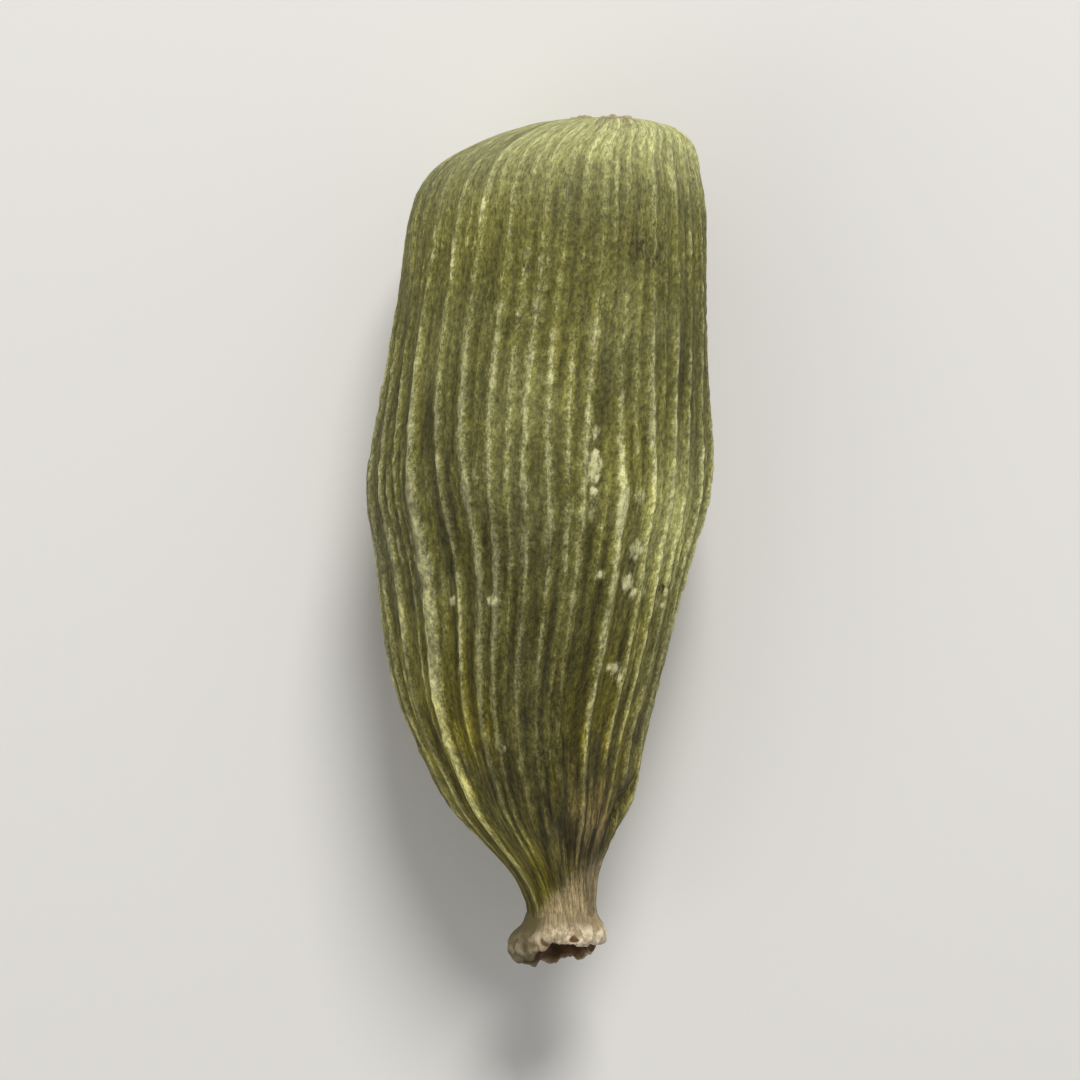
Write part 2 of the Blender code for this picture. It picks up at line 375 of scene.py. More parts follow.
def makeHuskMaterial():
    look = huskLook
    material, nodes, links = newMaterial("driedHusk")
    shader = nodes["Principled BSDF"]
    grain = attributeNode(nodes, "grain").outputs["Vector"]
    apart = nodes.new("ShaderNodeSeparateXYZ")
    links.new(grain, apart.inputs["Vector"])
    masks = {name: attributeNode(nodes, name).outputs["Fac"] for name in huskLayers}
    masks["along"] = apart.outputs["Y"]
    masks.update(huskPatterns(nodes, links, grain))

    body = bodyNode(nodes, links, masks)
    colour = skinColour(nodes, links, masks, body)
    colour = freshLitAndDried(nodes, links, masks, body, colour)
    colour = mixNode(nodes, links, 1.0, colour, shadeNode(nodes, links, masks), "MULTIPLY")
    colour = poresGrainsAndCreaseShade(nodes, links, masks, colour)
    links.new(colour, shader.inputs["Base Color"])
    rough = rampNode(nodes, links, masks["fibre"], 0.3, 0.7, *look["roughness"])
    links.new(rough, shader.inputs["Roughness"])
    shader.inputs["Specular IOR Level"].default_value = look["specular"]

    normal = bumpNode(nodes, links, masks["fibre"], look["fibreBump"], 1.0)
    normal = bumpNode(nodes, links, masks["fine"], look["fineBump"], 1.0, normal)
    normal = bumpNode(nodes, links, masks["pores"], look["poreBump"], 0.7, normal)
    links.new(normal, shader.inputs["Normal"])
    return material


cupLook = {
    "shaded": (0.190, 0.135, 0.062, 1.0),
    "papery": (0.430, 0.330, 0.175, 1.0),
    # pale cream, used partly as a painted highlight on the rim
    "pale": (0.930, 0.800, 0.580, 1.0),
    "green": (0.105, 0.084, 0.028, 1.0),
    # the inside's brown, darkened as painted shade, and near-black painted shade deep in the hollow
    "inside": (0.145, 0.078, 0.032, 1.0),
    "deepShade": (0.022, 0.007, 0.004, 1.0),
    "roughness": 0.66,
    "specular": 0.4,
    "bump": 0.00003,  # in metres
}

cupLayers = ("inside", "rim", "neck")


def makeCupMaterial():
    look = cupLook
    material, nodes, links = newMaterial("driedFlowerCup")
    shader = nodes["Principled BSDF"]
    grain = attributeNode(nodes, "grain").outputs["Vector"]
    inside, rim, neck = (attributeNode(nodes, name).outputs["Fac"] for name in cupLayers)
    fibre = noiseNode(nodes, links, grain, scale=9.0, detail=4.0, rough=0.6, stretch=(2.6, 0.2, 2.6))
    mottle = noiseNode(nodes, links, grain, scale=4.5, detail=4.0, rough=0.65)
    colour = mixNode(nodes, links, rampNode(nodes, links, fibre, 0.3, 0.7), look["shaded"], look["papery"])
    neckEdge = mathNode(nodes, links, "ADD", neck, mathNode(nodes, links, "MULTIPLY", mottle, 0.5))
    colour = mixNode(nodes, links, rampNode(nodes, links, neckEdge, 0.5, 1.2), colour, look["green"])
    # the torn rim's pale cream, partly a painted highlight on the lip and its lumps
    paleAndHighlightMask = mathNode(nodes, links, "MULTIPLY", rim, rampNode(nodes, links, mottle, 0.38, 0.6, 0.1, 1.0))
    colour = mixNode(nodes, links, paleAndHighlightMask, colour, look["pale"])
    # painted shade: the inside colour and, deeper in, near black, in the hollow, the net's holes, the stump's
    # bore and the scar's pit
    darkEdge = mathNode(nodes, links, "ADD", inside, mathNode(nodes, links, "MULTIPLY", mottle, 0.2))
    colour = mixNode(nodes, links, rampNode(nodes, links, darkEdge, 0.15, 0.5), colour, look["inside"])
    colour = mixNode(nodes, links, rampNode(nodes, links, darkEdge, 0.6, 1.05), colour, look["deepShade"])
    links.new(colour, shader.inputs["Base Color"])
    shader.inputs["Roughness"].default_value = look["roughness"]
    shader.inputs["Specular IOR Level"].default_value = look["specular"]
    normal = bumpNode(nodes, links, fibre, look["bump"], 0.8)
    normal = bumpNode(nodes, links, mottle, look["bump"], 0.6, normal)
    links.new(normal, shader.inputs["Normal"])
    return material


# Husk

huskParts = {
    "columnsPerRib": 12,
    "bluntRings": 40,
    "firstTurn": 0.1,  # where the rings of the blunt end start, in radians
    "ringSpans": ((3.0, 13.8, 118), (13.8, 17.58, 50)),  # from, to and how many rings
    "endStation": 17.6,
    "endRadius": 0.3,
    # angle above and below the belly, vigour above and below it, and how much is left by the beak
    "upperRibs": ((4, 2, 0.9, 0.9, 1.0), (16, 15, 1.1, 1.0, 1.0), (28, 28, 0.8, 0.8, 0.9),
                  (39, 37, 1.0, 0.75, 0.8), (53, 46, 1.05, 0.65, 0.6), (65, 61, 0.75, 0.9, 0.8),
                  (75, 76, 0.9, 0.55, 0.9), (82, 80, 0.7, 0.3, 0.8), (89, 86, 0.8, 0.55, 0.9),
                  (96, 94, 0.85, 0.65, 1.0), (102, 99, 0.75, 0.35, 0.6), (109, 104, 0.9, 1.1, 0.5),
                  (121, 110, 1.0, 1.2, 0.55), (133, 119, 1.0, 0.75, 0.2), (146, 133, 1.1, 1.9, 1.2),
                  (157, 143, 0.8, 0.4, 0.3), (168, 153, 0.9, 0.95, 1.2), (178, 166, 1.0, 0.9, 1.0)),
    "slide": (4.3, 11.0),  # where the ribs slip over from the one angle to the other
    "lowerRibSlide": math.radians(-6),
    "lowerRibCount": 18,
    "lowerRibJitter": 0.22,
    "lowerRibVigour": (0.6, 1.4),
    "weakRib": 0.85,
    "ribHeight": 0.16,
    "ribWidth": 0.155,
    "ribMeander": math.radians(1.0),
    "ribUnevenness": 0.35,
    "ribLeastWidth": 0.55,  # shares of ribWidth: of a rib without vigour, and added by vigour
    "ribAddedWidth": 0.5,
    "ribRoundness": 1.4,
    # at which station, and how strong
    "ribStrength": ((0.0, 0.8), (1.5, 0.6), (3.5, 0.52), (6.0, 0.82), (9.0, 0.95), (13.0, 1.05), (15.5, 1.0),
                    (16.8, 0.65), (17.6, 0.3)),
    "crestTone": ((0.0, 0.85), (1.5, 0.6), (2.6, 0.45), (4.3, 0.46), (5.6, 0.7), (9.0, 0.92), (15.0, 0.95),
                  (17.0, 0.6), (17.6, 0.45)),
    "fadeStart": 12.9,  # the ribs by the middle fade sooner
    "fadeSooner": 3.6,
    "fadeLength": 1.9,
    "fadeSpread": 0.3,
    "threadHeight": 0.1,
    "threadWidth": 0.105,
    "threadVigour": (0.2, 1.15),
    "threadPlace": (0.45, 0.55),  # share of the way to the next rib
    "widthCrowding": 0.8,  # powers: how ribs and threads narrow and sink where the pod is thin
    "heightCrowding": 0.75,
    "crestSharpness": 1.4,
    "beadDepth": 0.25,
    "granuleHeight": 0.03,
    "granuleSize": (0.19, 0.32),  # across and along, in millimetres
    "speckHeight": 0.035,
    "pitDepth": 0.03,
    "dentDepth": 0.07,
    "foldStation": 14.5,
    "foldLength": 0.8,
    "foldAngle": math.radians(18),
    "foldSpread": math.radians(16),
    "foldHeight": 0.2,
    "creaseStation": 14.9,
    "creaseLength": 0.42,
    "creaseAngle": math.radians(17),
    "creaseSpread": math.radians(7.5),
    "creaseDepth": 0.32,
    "creaseLean": 0.12,  # in radians a millimetre
    "flapTurn": math.radians(-15),
    "flapSpread": math.radians(6),
    "flapLength": 0.672,
    "flapHeight": 0.08,
    "bruiseStation": 15.45,
    "bruiseLength": 1.0,
    "bruiseAngle": math.radians(50),
    "bruiseSpread": math.radians(28),
    # a lighter middle and a darker ring round the bruise; its reach counts in ring lengths
    "ringStation": 15.15,
    "ringLength": 0.75,
    "ringAngle": math.radians(48),
    "ringSpread": math.radians(24),
    "ringReach": 1.15,
    "ringWidth": 0.3,
    "ringMiddle": 0.65,
    "ringDepth": 0.3,
    "scarRadius": 0.85,
    "scarSink": 0.5,
    "seed": 7,
    # spots: station, share of the half width to the right, length, width and strength
    "creamSpecks": ((7.75, 0.29, 0.36, 0.13, 1.5), (8.3, 0.3, 0.22, 0.11, 0.9), (8.5, 0.48, 0.4, 0.12, 1.2),
                    (10.15, 0.61, 0.18, 0.16, 1.3), (8.35, 0.58, 0.16, 0.15, 1.0),
                    (9.45, 0.63, 0.22, 0.18, 1.0), (11.95, 0.62, 0.13, 0.22, 0.9),
                    (12.15, 0.67, 0.2, 0.09, 0.7), (10.54, -0.24, 0.14, 0.14, 1.1),
                    (10.6, -0.55, 0.14, 0.11, 0.5), (7.9, -0.38, 0.16, 0.16, 0.4),
                    (10.65, 0.86, 0.2, 0.12, 0.5), (13.55, -0.26, 0.26, 0.16, 0.5),
                    (7.15, 0.27, 0.2, 0.08, 0.5), (8.9, 0.47, 0.22, 0.1, 1.0), (10.0, 0.41, 0.14, 0.1, 0.8),
                    (10.4, 0.66, 0.16, 0.09, 0.8), (10.3, 0.74, 0.2, 0.08, 0.7),
                    (10.54, -0.53, 0.13, 0.11, 0.8), (7.0, 0.29, 0.15, 0.1, 0.8), (8.7, 0.3, 0.2, 0.08, 0.7)),
    "creamDrifts": ((7.9, 0.45, 1.6, 0.3, 1.1), (9.7, 0.6, 1.4, 0.45, 1.2), (7.2, 0.62, 1.1, 0.4, 0.8),
                    (10.9, 0.72, 0.9, 0.3, 0.6), (5.5, -0.1, 1.5, 0.9, 0.35), (11.6, 0.53, 1.0, 0.25, 0.5),
                    (5.2, 0.55, 1.3, 0.7, 0.4), (9.0, -0.7, 1.8, 0.5, 0.35), (12.4, -0.7, 1.6, 0.3, 0.7)),
    # paler green patches, by the blunt end and on the right side, partly painted light
    "palePatches": ((8.8, 0.82, 1.6, 0.7, 0.45), (1.0, 0.35, 1.4, 2.0, 0.4)),
    # the last number is how much darker or lighter the skin is. These patches are partly the skin's own tone
    # and partly painted shade and painted light: shade along the left edge and towards the beak, light on the
    # right side
    "toneShadeAndLightPatches": ((1.0, -0.85, 1.1, 1.0, -0.35), (11.6, 0.02, 3.2, 1.25, -0.45), (8.9, 0.77, 1.6, 0.8, 1.0),
                    (8.1, 0.46, 1.5, 0.7, 0.5), (7.9, -0.45, 2.0, 0.8, -0.2), (13.7, 0.05, 1.4, 0.9, -0.32),
                    (3.2, 0.57, 0.4, 0.42, -0.34), (13.0, 0.42, 0.9, 0.4, 0.5), (2.6, -0.6, 0.8, 1.2, 0.15),
                    (10.0, -0.85, 0.8, 0.6, -0.14), (16.85, -0.3, 0.6, 0.45, 0.6),
                    (15.6, -0.4, 0.8, 0.6, 0.3), (13.2, -0.4, 0.9, 0.5, 0.55), (5.5, -0.85, 1.2, 0.8, 0.2),
                    (11.6, -0.85, 1.1, 0.6, 0.22), (2.3, 0.3, 0.9, 2.0, -0.12), (8.4, -0.8, 2.2, 1.1, -0.22),
                    (5.3, 0.1, 1.3, 1.1, 0.25), (13.2, -0.65, 1.3, 0.5, 0.5), (3.0, -0.5, 0.9, 1.2, 0.35),
                    (2.8, 0.6, 1.2, 1.2, 0.2), (14.6, -0.05, 0.9, 0.9, -0.2), (16.1, -0.2, 0.6, 0.7, 0.35),
                    (17.3, 0.4, 0.4, 0.7, 0.25), (15.9, 0.6, 0.5, 0.5, -0.25), (16.6, 0.1, 0.4, 0.5, -0.2),
                    (11.6, 0.4, 0.6, 0.4, -0.15), (10.1, 0.0, 0.7, 0.5, 0.2), (7.0, 0.0, 0.8, 0.5, 0.18)),
    # dark pits in the skin; the last two paint the slit beside the beak dark, which is painted shade in it
    "pits": ((3.15, 0.5, 0.26, 0.26, 0.62), (3.35, 0.62, 0.2, 0.18, 0.6), (2.8, 0.6, 0.13, 0.16, 0.5),
             (3.55, -0.19, 0.12, 0.1, 0.6), (4.1, 0.64, 0.12, 0.1, 0.6), (2.3, 0.53, 0.11, 0.1, 0.6),
             (10.3, 0.86, 0.14, 0.14, 0.6), (14.95, 0.91, 0.45, 0.1, 1.6), (15.35, 0.88, 0.25, 0.09, 1.2)),
}


def ribPlan():
    rng = random.Random(huskParts["seed"])
    ribs = [(math.radians(above), math.radians(below), vigour, vigourBelow, left)
            for above, below, vigour, vigourBelow, left in huskParts["upperRibs"]]
    count, jitter = huskParts["lowerRibCount"], huskParts["lowerRibJitter"]
    for k in range(count):
        angle = math.pi + math.pi / count * (k + 0.6 + rng.uniform(-jitter, jitter))
        vigour = rng.uniform(*huskParts["lowerRibVigour"])
        ribs.append((angle, angle + huskParts["lowerRibSlide"], vigour, vigour, 1.0))
    # one thin thread near the middle between two ribs
    threads = [(rng.uniform(*huskParts["threadPlace"]), rng.uniform(*huskParts["threadVigour"]))
               for _ in ribs]
    return ribs, threads


def fadeAt(station, angle):
    parts = huskParts
    nearMiddle = bump(turnBetween(angle, math.radians(90)), parts["fadeSpread"])
    start = parts["fadeStart"] - parts["fadeSooner"] * nearMiddle
    return ramp(start, start + parts["fadeLength"], station)


def ribHeight(station, radius, angle, vigour, left):
    crowding = radius / pod["halfWidth"]
    height = vigour * crowding ** huskParts["heightCrowding"]
    if vigour < huskParts["weakRib"]:
        height *= ramp(0.3, 0.75, crowding)
    height *= smoothCurve(huskParts["ribStrength"], station)
    height *= 1 + (left - 1) * fadeAt(station, angle)
    return height * (1 + huskParts["ribUnevenness"] * around(angle, station * 0.35, 5.0))


def huskStations():
    # rings stand closer where the skin turns fast
    stations = []
    squareness, blunt = pod["bluntSquareness"], pod["bluntEnd"]
    first, rings = huskParts["firstTurn"], huskParts["bluntRings"]
    for i in range(1, rings + 1):
        turn = first + (math.pi / 2 - first) * i / rings
        stations.append(blunt * (1 - math.cos(turn) ** (2 / squareness)))
    for start, end, count in huskParts["ringSpans"]:
        stations += [start + (end - start) * i / count for i in range(1, count + 1)]
    return stations


def tanAt(station, angle):
    # the beak dries to tan, further up on its right-hand side
    return ramp(pod["tanStart"], pod["tanEnd"], station + pod["tanSkew"] * math.cos(angle))


def spotStrength(spots, station, angle, radius, softness=1.5):
    total = 0.0
    for at, side, length, width, strength in spots:
        along = (station - at) / length
        if abs(along) < 2.2 and math.sin(angle) > 0:
            across = (math.cos(angle) - side) * radius / width
            total = max(total, strength * math.exp(-((along * along + across * across) ** softness)))
    return total


def creaseAndFlap(station, angle):
    # a short pocket in the skin beside the beak, with a low lip along it
    parts = huskParts
    along = station - parts["creaseStation"]
    turn = turnBetween(angle, parts["creaseAngle"] + parts["creaseLean"] * along)
    crease = bump(turn, parts["creaseSpread"]) * bump(along, parts["creaseLength"])
    flap = bump(turn - parts["flapTurn"], parts["flapSpread"]) * bump(along, parts["flapLength"])
    return crease, flap


def bruiseAt(station, angle):
    parts = huskParts
    along = bump(station - parts["bruiseStation"], parts["bruiseLength"])
    return along * bump(turnBetween(angle, parts["bruiseAngle"]), parts["bruiseSpread"])


def toneShadeAndLightAt(station, angle, radius):
    parts = huskParts
    along = (station - parts["ringStation"]) / parts["ringLength"]
    reach = math.hypot(along, turnBetween(angle, parts["ringAngle"]) / parts["ringSpread"])
    middle, ring = bump(reach, parts["ringMiddle"]), bump(reach - parts["ringReach"], parts["ringWidth"])
    toneShadeAndLight = 1 + parts["ringDepth"] * middle - parts["ringDepth"] * ring
    # patches of painted shade and painted light, besides the skin's own tone
    for *patch, amount in parts["toneShadeAndLightPatches"]:
        toneShadeAndLight *= 1 + amount * spotStrength(((*patch, 1.0),), station, angle, radius, 1.0)
    return toneShadeAndLight


def ribAt(rib, away, slide, station, radius):
    # relief and paleness that one rib gives a point so many millimetres away from its crest
    parts = huskParts
    crestAngle, _, vigourAbove, vigourBelow, left = rib
    crowding = max(radius, 0.05) / pod["halfWidth"]
    vigour = vigourAbove + (vigourBelow - vigourAbove) * slide
    share = parts["ribLeastWidth"] + parts["ribAddedWidth"] * vigour * (1 + (left - 1) * slide)
    width = parts["ribWidth"] * crowding ** parts["widthCrowding"] * share
    shape = math.exp(-((away / width) ** parts["ribRoundness"]))
    bead = noise.noise(Vector((crestAngle * 9.0, station * 2.1, 1.0)))
    bead += 0.5 * noise.noise(Vector((crestAngle * 9.0, station * 4.3, 4.0)))
    height = ribHeight(station, radius, crestAngle, vigour, left)
    relief = parts["ribHeight"] * height * shape * (1 + parts["beadDepth"] * bead)
    strength = min(height / crowding ** parts["heightCrowding"], 1.6)
    strength *= smoothCurve(parts["crestTone"], station)
    strength *= 1 + 0.4 * noise.noise(Vector((crestAngle * 7.0, station * 0.8, 12.0)))
    paleness = min(0.6 * strength + 0.4, 1.6 * strength) * (1 + 0.3 * bead)
    return relief, paleness * shape ** parts["crestSharpness"]


def threadAt(thread, number, part, gap, station, radius, angle):
    # thin threads come and go in the valleys
    parts = huskParts
    threadPart, vigour = thread
    threadPart += 0.05 * math.sin(station * 0.7 + number * 2.4)
    crowding = max(radius, 0.05) / pod["halfWidth"]
    width = parts["threadWidth"] * crowding ** parts["widthCrowding"]
    shape = math.exp(-((abs(part - threadPart) * gap * radius / width) ** parts["ribRoundness"]))
    fade = ramp(-0.35, 0.35, noise.noise(Vector((number * 3.1, station * 0.45, 8.0)))) * vigour
    fade *= ramp(math.radians(6), math.radians(10), gap)
    fade *= 1 - 0.2 * fadeAt(station, angle)
    relief = parts["threadHeight"] * shape * fade * crowding ** parts["heightCrowding"]
    return relief, 0.9 * shape ** parts["crestSharpness"] * fade * smoothCurve(parts["crestTone"], station)


def granuleAt(grain, radius):
    across, along = huskParts["granuleSize"]
    nearest = noise.voronoi(Vector((grain.x / across, grain.y / along, grain.z / across)))[0][0]
    rough = 0.5 + 0.5 * ramp(-0.25, 0.35, noise.noise(grain * 0.45 + Vector((4.0, 9.0, 2.0))))
    rough *= ramp(0.5, 1.6, radius)
    return (1 - ramp(0.12, 0.62, nearest)) * rough


def creamAt(station, angle, radius, crest, grain):
    # pale grains, and drifts of them that lie on the crests
    drift = spotStrength(huskParts["creamDrifts"], station, angle, radius, 1.0)
    drift *= ramp(0.1, 0.6, crest) * ramp(-0.15, 0.3, noise.noise(grain * 1.9 + Vector((17.0, 3.0, 5.0))))
    return min(max(spotStrength(huskParts["creamSpecks"], station, angle, radius), drift), 1.0)


# paler by the blunt end, partly fresher skin and partly painted light where the end catches the light
def freshAndLitAt(station, angle, radius):
    freshAndLit = (1 - ramp(0.0, pod["bluntEnd"], station)) ** 1.3 * (0.6 + 0.4 * ramp(0.7, 1.6, radius))
    return max(freshAndLit, spotStrength(huskParts["palePatches"], station, angle, radius, 1.0))


def foldAndDents(station, angle, radius):
    parts = huskParts
    fold = parts["foldHeight"] * bump(station - parts["foldStation"], parts["foldLength"])
    fold *= bump(turnBetween(angle, parts["foldAngle"]), parts["foldSpread"])
    return fold + parts["dentDepth"] * ramp(1.2, 2.6, radius) * around(angle, station * 0.28, 1.3)


def skinRadius(station, angle, radius, relief):
    # a slightly three-sided section, pressed smooth at the rest spot
    swell = bump(station - pod["swellStation"], pod["swellLength"])
    swell = pod["swell"] + (pod["swellByBeak"] - pod["swell"]) * swell
    swell *= ramp(0.8, 2.4, radius)
    pressed = bump(turnBetween(angle, math.radians(-90)), pod["restSpread"])
    pressed *= bump(station - pod["restStation"], pod["restLength"])
    smooth = radius * (1 + swell * math.cos(3 * (angle - pod["topAngle"])))
    return smooth + relief * ramp(0.3, 1.6, radius) * (1 - pressed)


def huskRings():
    # station and radius of each ring, closed under the scar and inside the beak
    sink, radius, end = huskParts["scarSink"], huskParts["scarRadius"], huskParts["endStation"]
    rings = [(sink, 0.0), (sink, radius * 0.6), (sink / 2, radius * 0.9)]
    rings += [(station, halfWidthAt(station)) for station in huskStations()]
    return rings + [(end, huskParts["endRadius"]), (end, 0.0)]


def makeHusk(material):
    parts = huskParts
    ribs, threads = ribPlan()
    rings, perRib = huskRings(), parts["columnsPerRib"]

    def place(column, ring):
        station, radius = rings[ring]
        number, step = divmod(column, perRib)
        here, ahead = ribs[number], ribs[(number + 1) % len(ribs)]
        part = step / perRib
        slide = ramp(*parts["slide"], station)
        hereAngle = here[0] + (here[1] - here[0]) * slide
        gap = (ahead[0] + (ahead[1] - ahead[0]) * slide - hereAngle) % fullTurn
        baseAngle = hereAngle + gap * part
        wander = parts["ribMeander"] * math.sin(station * 0.9 + 2.0 * math.sin(baseAngle))
        angle = baseAngle + wander * ramp(0.0, 3.0, radius)
        grain = Vector((math.cos(baseAngle) * 3.5, station, math.sin(baseAngle) * 3.5))

        # a rib stands at each side of a valley, and a thread in it
        lines = (ribAt(here, part * gap * radius, slide, station, radius),
                 ribAt(ahead, (1 - part) * gap * radius, slide, station, radius),
                 threadAt(threads[number], number, part, gap, station, radius, angle))
        relief = sum(rise for rise, paleness in lines)
        crest = max(0.0, *(paleness for rise, paleness in lines))
        granule = granuleAt(grain, radius)
        cream = creamAt(station, angle, radius, crest, grain)
        pit = spotStrength(parts["pits"], station, angle, radius)
        crease, flap = creaseAndFlap(station, angle)
        relief += parts["granuleHeight"] * (granule - 0.4)
        relief += parts["speckHeight"] * cream - parts["pitDepth"] * pit
        relief += parts["flapHeight"] * flap - parts["creaseDepth"] * crease
        relief += foldAndDents(station, angle, radius)

        crest = max(crest, 0.9 * flap) * (1 - crease)
        # the crease is painted dark with the pit colour: painted shade in the pocket
        pit = max(pit, 0.9 * crease)
        values = (crest, granule, tanAt(station, angle), bruiseAt(station, angle),
                  freshAndLitAt(station, angle, radius), cream, pit, toneShadeAndLightAt(station, angle, radius))
        return inFrame(station, skinRadius(station, angle, radius, relief), angle), grain, values

    bm = rollSheet(len(ribs) * perRib, len(rings), place, huskLayers)
    husk = makePiece("husk", bm, material)
    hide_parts("cardamom_pod")
    return husk


# Dried flower cup at the beak's end

cup = {
    "columns": 320,
    "outerRings": 40,
    "lipRings": 14,
    "innerRings": 26,
    "start": 17.25,
    "floor": 17.62,
    "outerCurve": ((17.25, 0.68), (17.45, 0.80), (17.65, 0.89), (17.85, 1.01), (18.1, 1.08), (18.5, 1.04)),
    "innerCurve": ((17.62, 0.42), (17.75, 0.6), (18.0, 0.74), (18.5, 0.82)),
    "lipThickness": 0.3,
    "shorter": 0.2,
    "shorterOnTop": 0.21,
    "shorterAtSide": 0.17,
    "raggedness": 0.18,  # broad, middling and fine tears of the edge
    "middleRaggedness": 0.12,
    "fineRaggedness": 0.05,
    "notchAngle": math.radians(72),
    "notchSpread": math.radians(24),
    "notchDepth": 0.1,
    "lean": 0.12,
    "lumps": 0.12,
    # how fine the lumps are round and along the cup, where their noise starts, and their share
    "lumpSizes": ((2.6, 2.2, 0.0, 1.0), (5.5, 5.0, 5.0, 0.6), (13.0, 12.0, 0.0, 0.12)),
    "neckLumps": 0.09,
    "fineNeckLumps": 0.05,
    "pleats": 11,
    "pleatDepth": 0.015,
    "netSize": 0.25,
    "netHeight": 0.04,
}


def cupEdge(angle):
    # at which station the torn edge is rounded over, and how thick it is there
    parts = cup
    tear = parts["shorter"] + parts["shorterOnTop"] * math.sin(angle)
    tear += parts["shorterAtSide"] * math.cos(angle)
    tear += parts["raggedness"] * around(angle, 9.0, 1.7)
    tear += parts["middleRaggedness"] * around(angle, 2.0, 4.5)
    tear += parts["fineRaggedness"] * around(angle, 4.0, 9.0)
    tear += parts["notchDepth"] * bump(turnBetween(angle, parts["notchAngle"]), parts["notchSpread"])
    thickness = parts["lipThickness"] * (1 + 0.6 * around(angle, 7.0, 2.5))
    thickness *= 0.85 + 0.25 * math.sin(angle)
    return pod["length"] - tear - thickness / 2, thickness


def cupRing(ring, lip, thickness):
    # station, radius, flare, darkness and paleness: up the outside, over the lip and down the inside. The
    # darkness is painted shade, deeper down the hollow; the paleness on the lip is partly a painted highlight
    parts = cup
    outer, lipRings, inner = parts["outerRings"], parts["lipRings"], parts["innerRings"]
    edgeRadius = smoothCurve(parts["outerCurve"], lip)
    if ring == 0:
        return parts["start"] + 0.1, 0.0, 0.0, 0.0, 0.0
    if ring <= outer:
        share = (ring - 1) / (outer - 1)
        station = parts["start"] + (lip - parts["start"]) * share
        radius = smoothCurve(parts["outerCurve"], station)
        return station, radius, ramp(0.2, 0.8, share), 0.0, ramp(0.4, 0.9, share)
    if ring <= outer + lipRings:
        turn = math.pi * (ring - outer) / (lipRings + 1)
        station = lip + thickness * 0.5 * math.sin(turn)
        radius = edgeRadius - thickness * 0.5 * (1 - math.cos(turn))
        turnedIn = ramp(1.6, 3.1, turn)
        return station, radius, 1.0, 0.3 * turnedIn, 1 - 0.5 * turnedIn
    if ring <= outer + lipRings + inner:
        share = (ring - outer - lipRings) / inner
        station = lip - (lip - parts["floor"]) * share
        radius = min(smoothCurve(parts["innerCurve"], station), edgeRadius - thickness)
        # painted shade, darker further down the hollow
        inside = 0.3 + 0.4 * ramp(0.0, 0.3, share) + 0.3 * ramp(0.35, 0.95, share)
        return station, radius, 1 - ramp(0.0, 0.8, share), inside, 1 - ramp(0.0, 0.2, share)
    return parts["floor"], 0.0, 0.0, 1.0, 0.0


def cupLumps(angle, station, flare):
    parts = cup
    across, up = math.cos(angle), math.sin(angle)
    lump = 0.0
    for fineRound, fineAlong, start, weight in parts["lumpSizes"]:
        spot = Vector((across * fineRound, station * fineAlong, up * fineRound + start))
        lump += weight * noise.noise(spot)
    pleat = math.cos(parts["pleats"] * angle + 2.0 * around(angle, 1.0, 2.0))
    lipLump = parts["lumps"] * lump + parts["pleatDepth"] * pleat - parts["lean"] * across
    neckLump = parts["neckLumps"] * around(angle, 5.0, 2.5)
    neckLump += parts["fineNeckLumps"] * around(angle, 3.0, 8.0)
    return lipLump * flare + neckLump * (1 - flare)


def netHoles(angle, station, grain, flare):
    # the torn outside is a net of strands with small holes
    near, second = noise.voronoi(grain / cup["netSize"] + Vector((2.0, 5.0, 1.0)))[0][:2]
    strand = 1 - ramp(0.08, 0.4, second - near)
    return flare * (1 - strand) * ramp(-0.2, 0.3, around(angle, station * 1.5, 2.0))


def makeFlowerCup(material):
    parts = cup
    outside = parts["outerRings"] + parts["lipRings"] // 2
    rings = parts["outerRings"] + parts["lipRings"] + parts["innerRings"] + 2

    def place(column, ring):
        angle = fullTurn * column / parts["columns"]
        station, radius, flare, inside, pale = cupRing(ring, *cupEdge(angle))
        across, up = math.cos(angle), math.sin(angle)
        grain = Vector((across, station, up))
        if radius:
            radius += cupLumps(angle, station, flare)
            station += 0.05 * noise.noise(grain * 4.0 + Vector((9.0, 0.0, 0.0))) * flare
            holes = netHoles(angle, station, grain, flare)
            radius -= parts["netHeight"] * holes * (1 if ring <= outside else -0.4)
            pale *= 1 - 0.85 * holes
            # the holes are painted darker: painted shade in them
            inside = max(inside, 0.5 * ramp(0.6, 1.0, holes))
        # painted shade on the underside makes it less pale, and the left lobe is darker
        pale *= 0.35 + 0.65 * ramp(-0.5, 0.4, up)
        leftLobe = ramp(0.15, 0.8, -across)
        pale *= 1 - 0.8 * leftLobe
        neck = max((1 - tanAt(station, angle)) * (1 - flare), 0.95 * leftLobe)
        return inFrame(station, radius, angle), grain, (inside, pale, neck)

    bm = rollSheet(parts["columns"], rings, place, cupLayers)
    return makePiece("flowerCup", bm, material)


styleStump = {
    "base": 17.55,
    "tip": 18.02,
    "radius": 0.34,
    "bore": 0.13,
    "boreDepth": 0.2,
    "columns": 96,
    "rings": 8,
}


